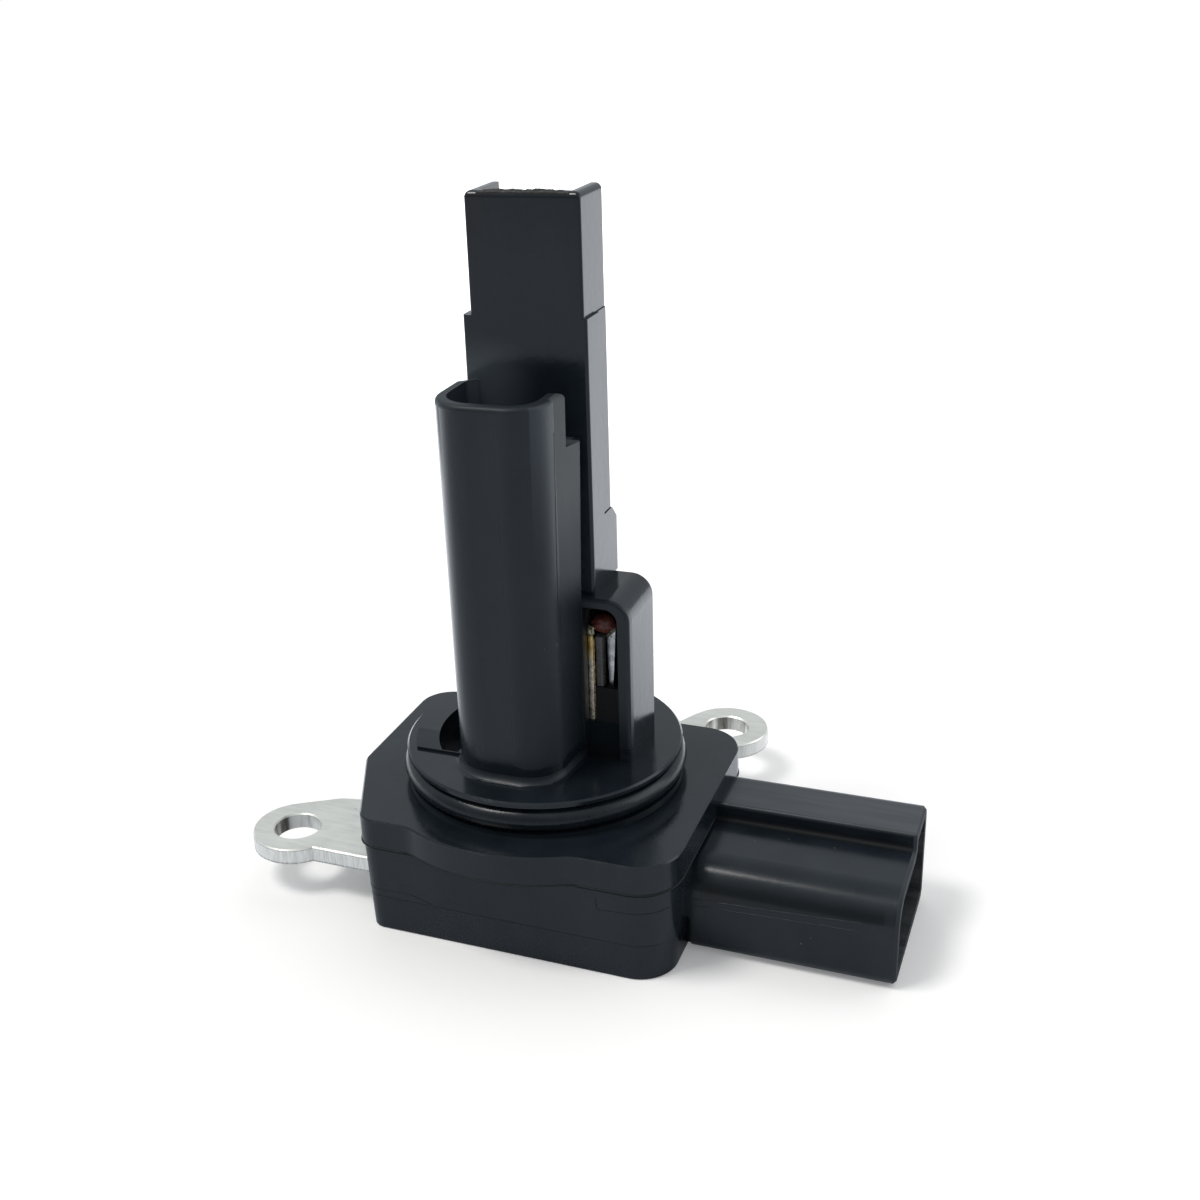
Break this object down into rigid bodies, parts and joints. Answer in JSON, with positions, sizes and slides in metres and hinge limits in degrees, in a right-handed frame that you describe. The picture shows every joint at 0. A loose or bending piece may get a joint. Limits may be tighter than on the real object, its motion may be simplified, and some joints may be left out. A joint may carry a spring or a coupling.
{
  "type": "mass airflow sensor",
  "caption": "Plug-in air mass sensor: a slotted probe with bypass tube and air thermistor on a sealed round spigot, over a flat case with side connector and steel ears.",
  "frame": {"origin": "on the spigot's axis, at the underside of the circuit cover", "axes": "+Z from the cover along the probe to its tip, +X out of the connector, -Y towards the bypass tube"},
  "size_m": [0.0702, 0.0509, 0.0738],
  "materials": {
    "moulded_black": "smooth moulded black, low roughness",
    "plated_steel": "zinc-plated sheet, faint grain",
    "seal_rubber": "satin black rubber",
    "sealant": "cured silicone, satin",
    "board_laminate": "green solder mask",
    "chip_epoxy": "black moulded epoxy",
    "chip_ceramic": "tan ceramic",
    "silicone_gel": "soft clear gel",
    "element_glaze": "glazed platinum film on ceramic",
    "post_plastic": "dark gray, satin",
    "bead_epoxy": "reddish-brown epoxy, glossy",
    "tinned_brass": "thin dull tin over brass",
    "post_steel": "bright nickel-iron wire",
    "solder": "dull tin solder"
  },
  "bodies": {
    "root": {"bypass_cover": "moulded_black", "capacitor_1": "chip_ceramic", "capacitor_2": "chip_ceramic", "capacitor_3": "chip_ceramic", "circuit_board": "board_laminate", "circuit_cover": "moulded_black", "compensation_element": "element_glaze", "connector_case": "moulded_black", "control_chip": "chip_epoxy", "cover_sealant": "sealant", "element_post_1": "post_steel", "element_post_2": "post_steel", "element_post_3": "post_steel", "element_post_4": "post_steel", "heating_element": "element_glaze", "mounting_bracket": "plated_steel", "o_ring": "seal_rubber", "potting_gel": "silicone_gel", "resistor_1": "chip_epoxy", "resistor_2": "chip_epoxy", "resistor_3": "chip_epoxy", "sensor_housing": "moulded_black", "terminal_1": "tinned_brass", "terminal_2": "tinned_brass", "terminal_3": "tinned_brass", "terminal_4": "tinned_brass", "terminal_5": "tinned_brass", "thermistor_bead": "bead_epoxy", "thermistor_blade_1": "tinned_brass", "thermistor_blade_2": "tinned_brass", "thermistor_lead_1": "solder", "thermistor_lead_2": "solder", "thermistor_post": "post_plastic"}
  },
  "joints": []
}
